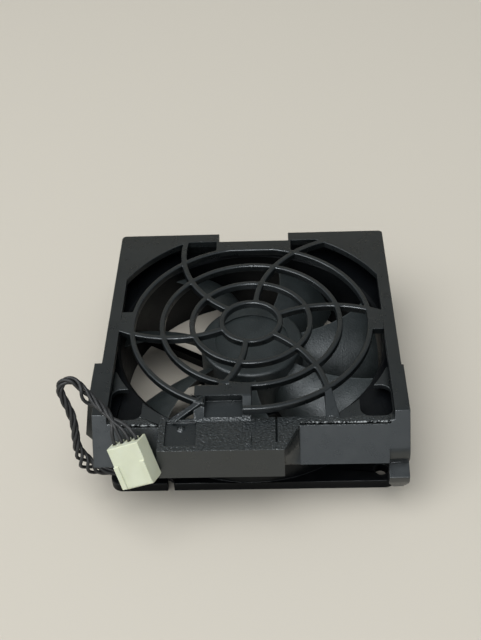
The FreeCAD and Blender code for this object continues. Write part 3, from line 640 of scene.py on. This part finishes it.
def travelled(line):
    """The distance from the start of a line to each of its points."""
    distances = [0.0]
    for before, after in zip(line, line[1:]):
        distances.append(distances[-1] + (after - before).length)
    return distances


def carried_sides(line):
    """Two directions square to the line at each point, carried along it without spinning."""
    sides = []
    side = None
    for index in range(len(line)):
        ahead = line[min(index + 1, len(line) - 1)] - line[max(index - 1, 0)]
        ahead.normalize()
        if side is None:
            side = ahead.orthogonal()
        side = (side - ahead * side.dot(ahead)).normalized()
        sides.append((side.copy(), ahead.cross(side)))
    return sides


def tube_along(work, line, radius):
    """A closed round tube along a line, added to a bmesh."""
    rings = []
    for place, (side, up) in zip(line, carried_sides(line)):
        ring = []
        for n in range(WIRE_SIDES):
            turn = 2 * math.pi * n / WIRE_SIDES
            ring.append(work.verts.new(place + (side * math.cos(turn) + up * math.sin(turn)) * radius))
        rings.append(ring)
    for first, second in zip(rings, rings[1:]):
        for n in range(WIRE_SIDES):
            after = (n + 1) % WIRE_SIDES
            work.faces.new((first[n], first[after], second[after], second[n]))
    work.faces.new(list(reversed(rings[0])))
    work.faces.new(rings[-1])


def connector_axes():
    """The connector's own directions: across its ways, out of its face and from wire end to mating end."""
    yaw, tilt, roll = (math.radians(angle) for angle in CONNECTOR_TURN)
    turn = Matrix.Rotation(yaw, 3, "Z") @ Matrix.Rotation(tilt, 3, "Y") @ Matrix.Rotation(roll, 3, "X")
    return turn.col[0].copy(), turn.col[1].copy(), turn.col[2].copy()


def ease(value):
    """Runs from 0 to 1 with a soft start and a soft end."""
    value = max(0.0, min(1.0, value))
    return value * value * (3 - 2 * value)


def stray(travel, place):
    """Rises from 0 to 1 and back over the stretch where wires part from the twist."""
    return ease(1 - abs(travel - place) / STRAY_HALF_LENGTH)


def strand_line(line, distances, sides, number, across):
    """One wire of the loose twist: it winds round the route, strays here and there and ends at its way."""
    total = distances[-1]
    way = across * ((number - (WIRE_COUNT - 1) / 2) * CONNECTOR_PITCH)
    points = []
    for place, travel, (side, up) in zip(line, distances, sides):
        turn = 2 * math.pi * (number / WIRE_COUNT + travel / TWIST_LENGTH)
        wander = noise.noise(Vector((travel / TWIST_LENGTH, number * WANDER_STEP, WANDER_LAYER)))
        reach = WIRE_REACH * (1 + WANDER_SPREAD * wander)
        reach += LOOSE_REACH * stray(travel, LOOSE_PLACE) * (LOOSE_SHARE + LOOSE_SPREAD * wander)
        if number == BOWED_WIRE:
            reach += BOW_REACH * stray(travel, BOW_PLACE)
        wound = place + (side * math.cos(turn) + up * math.sin(turn)) * reach
        fan = ease(1 - (total - travel) / TAIL_LENGTH)
        points.append(wound.lerp(place + way, fan))
    return points


def wires_between(name, strands, first, last):
    """The stretch of every wire between two points of the route, as one piece of the housing."""
    work = bmesh.new()
    for strand in strands:
        tube_along(work, strand[first:last], WIRE_RADIUS)
    bmesh.ops.recalc_face_normals(work, faces=work.faces)
    mesh = bpy.data.meshes.new(name)
    work.to_mesh(mesh)
    work.free()
    mesh.shade_smooth()
    mesh.materials.append(FINISHES["wire_insulation"])
    piece = link(bpy.data.objects.new(name, mesh))
    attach(piece, "housing")
    return piece


def dress_leads(connector):
    """Four twisted wires in place of the plain bundle, with tails that fan out into the connector."""
    across, out, along = connector_axes()
    entry = CONNECTOR_CORNER + across * (CONNECTOR_WIDTH / 2) + out * (CONNECTOR_THICKNESS / 2)
    approach = entry - along * BUNDLE_APPROACH
    line = smooth_route([Vector(place) for place in BUNDLE_ROUTE] + [approach, entry])
    distances = travelled(line)
    sides = carried_sides(line)
    strands = [strand_line(line, distances, sides, number, across) for number in range(WIRE_COUNT)]
    split = next(n for n, travel in enumerate(distances) if travel > distances[-1] - TAIL_LENGTH)
    leads = wires_between("lead_wires", strands, 0, split + 1)
    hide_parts("lead_bundle")
    tails = wires_between("lead_tails", strands, split, len(line))


# Stage


def floor_paper():
    material, tree, shader = new_material("floor_paper")
    feed(tree, shader, {"Base Color": FLOOR_COLOUR, "Roughness": 0.75, "Specular IOR Level": 0.2})
    return material


def build_floor():
    """One pale sheet that runs level under the object and curves up far behind it."""
    profile = [(FLOOR_FRONT, 0.0), (CURVE_START, 0.0)]
    for step in range(1, CURVE_STEPS + 1):
        angle = math.radians(90 * step / CURVE_STEPS)
        back = CURVE_START + CURVE_RADIUS * math.sin(angle)
        height = CURVE_RADIUS * (1 - math.cos(angle))
        profile.append((back, height))
    profile.append((CURVE_START + CURVE_RADIUS, FLOOR_TOP))
    work = bmesh.new()
    left = [work.verts.new((-FLOOR_HALF_WIDTH, y, z)) for y, z in profile]
    right = [work.verts.new((FLOOR_HALF_WIDTH, y, z)) for y, z in profile]
    for index in range(len(profile) - 1):
        work.faces.new((left[index], right[index], right[index + 1], left[index + 1]))
    mesh = bpy.data.meshes.new("floor")
    work.to_mesh(mesh)
    work.free()
    mesh.shade_smooth()
    mesh.materials.append(floor_paper())
    link(bpy.data.objects.new("floor", mesh))


def build_room():
    """Light from all round that is stronger from the room light's direction."""
    world = bpy.data.worlds.new("studio")
    bpy.context.scene.world = world
    world.use_nodes = True
    tree = world.node_tree
    direction = add_node(tree, "ShaderNodeTexCoord").outputs["Generated"]
    both = {0: direction, 1: ROOM_DIRECTION}
    lean = add_node(tree, "ShaderNodeVectorMath", both, operation="DOT_PRODUCT").outputs["Value"]
    both = {0: remap(tree, lean, FULL), 1: ROOM_FOCUS}
    lobe = add_node(tree, "ShaderNodeMath", both, operation="POWER").outputs[0]
    strength = remap(tree, lobe, FULL, ROOM_STRENGTH)
    feed(tree, tree.nodes["Background"], {"Color": ROOM_COLOUR, "Strength": strength})


def soft_light(name, place, size, power, target=(0, 0, 0), matt=True, gloss=True):
    """A rectangular lamp that can be kept out of matt or of glossy reflections."""
    data = bpy.data.lights.new(name, "AREA")
    data.shape = "RECTANGLE"
    data.size = size[0]
    data.size_y = size[1]
    data.energy = power
    lamp = link(bpy.data.objects.new(name, data))
    lamp.location = place
    lamp.visible_diffuse = matt
    lamp.visible_glossy = gloss
    lamp.rotation_euler = (Vector(target) - Vector(place)).to_track_quat("-Z", "Y").to_euler()


def build_lamps():
    """Two lamps that show only as gloss, one that gives only matt light, and a weak one from the front."""
    soft_light("sheen", place=(-0.95, -0.38, 0.83), size=(0.8, 0.6), power=7.0, matt=False)
    soft_light("edges", place=(-0.20, -0.80, 1.05), size=(0.50, 0.36), power=11.0, matt=False)
    soft_light("room", place=(-0.30, -0.35, 1.30), size=(1.6, 1.6), power=20.5, gloss=False)
    soft_light("front", place=(-0.15, -1.20, 0.52), size=(1.3, 0.5), power=1.0, target=(0, 0, 0.01))


def build_camera():
    data = bpy.data.cameras.new("view")
    data.sensor_fit = "AUTO"
    data.sensor_width = SENSOR_LONG_SIDE
    data.lens = CAMERA_LENS
    camera = link(bpy.data.objects.new("view", data))
    camera.location = CAMERA_PLACE
    camera.rotation_euler = [math.radians(angle) for angle in CAMERA_TURN]
    bpy.context.scene.camera = camera


dress_nodes()
dress_holder()
softened("frame_moulding", "fan_frame", one_width(FRAME_ROUND))
dress_leads(softened("connector_body", "connector_housing", one_width(CONNECTOR_ROUND)))
build_floor()
build_room()
build_lamps()
build_camera()
bpy.context.scene.view_settings.view_transform = "Standard"
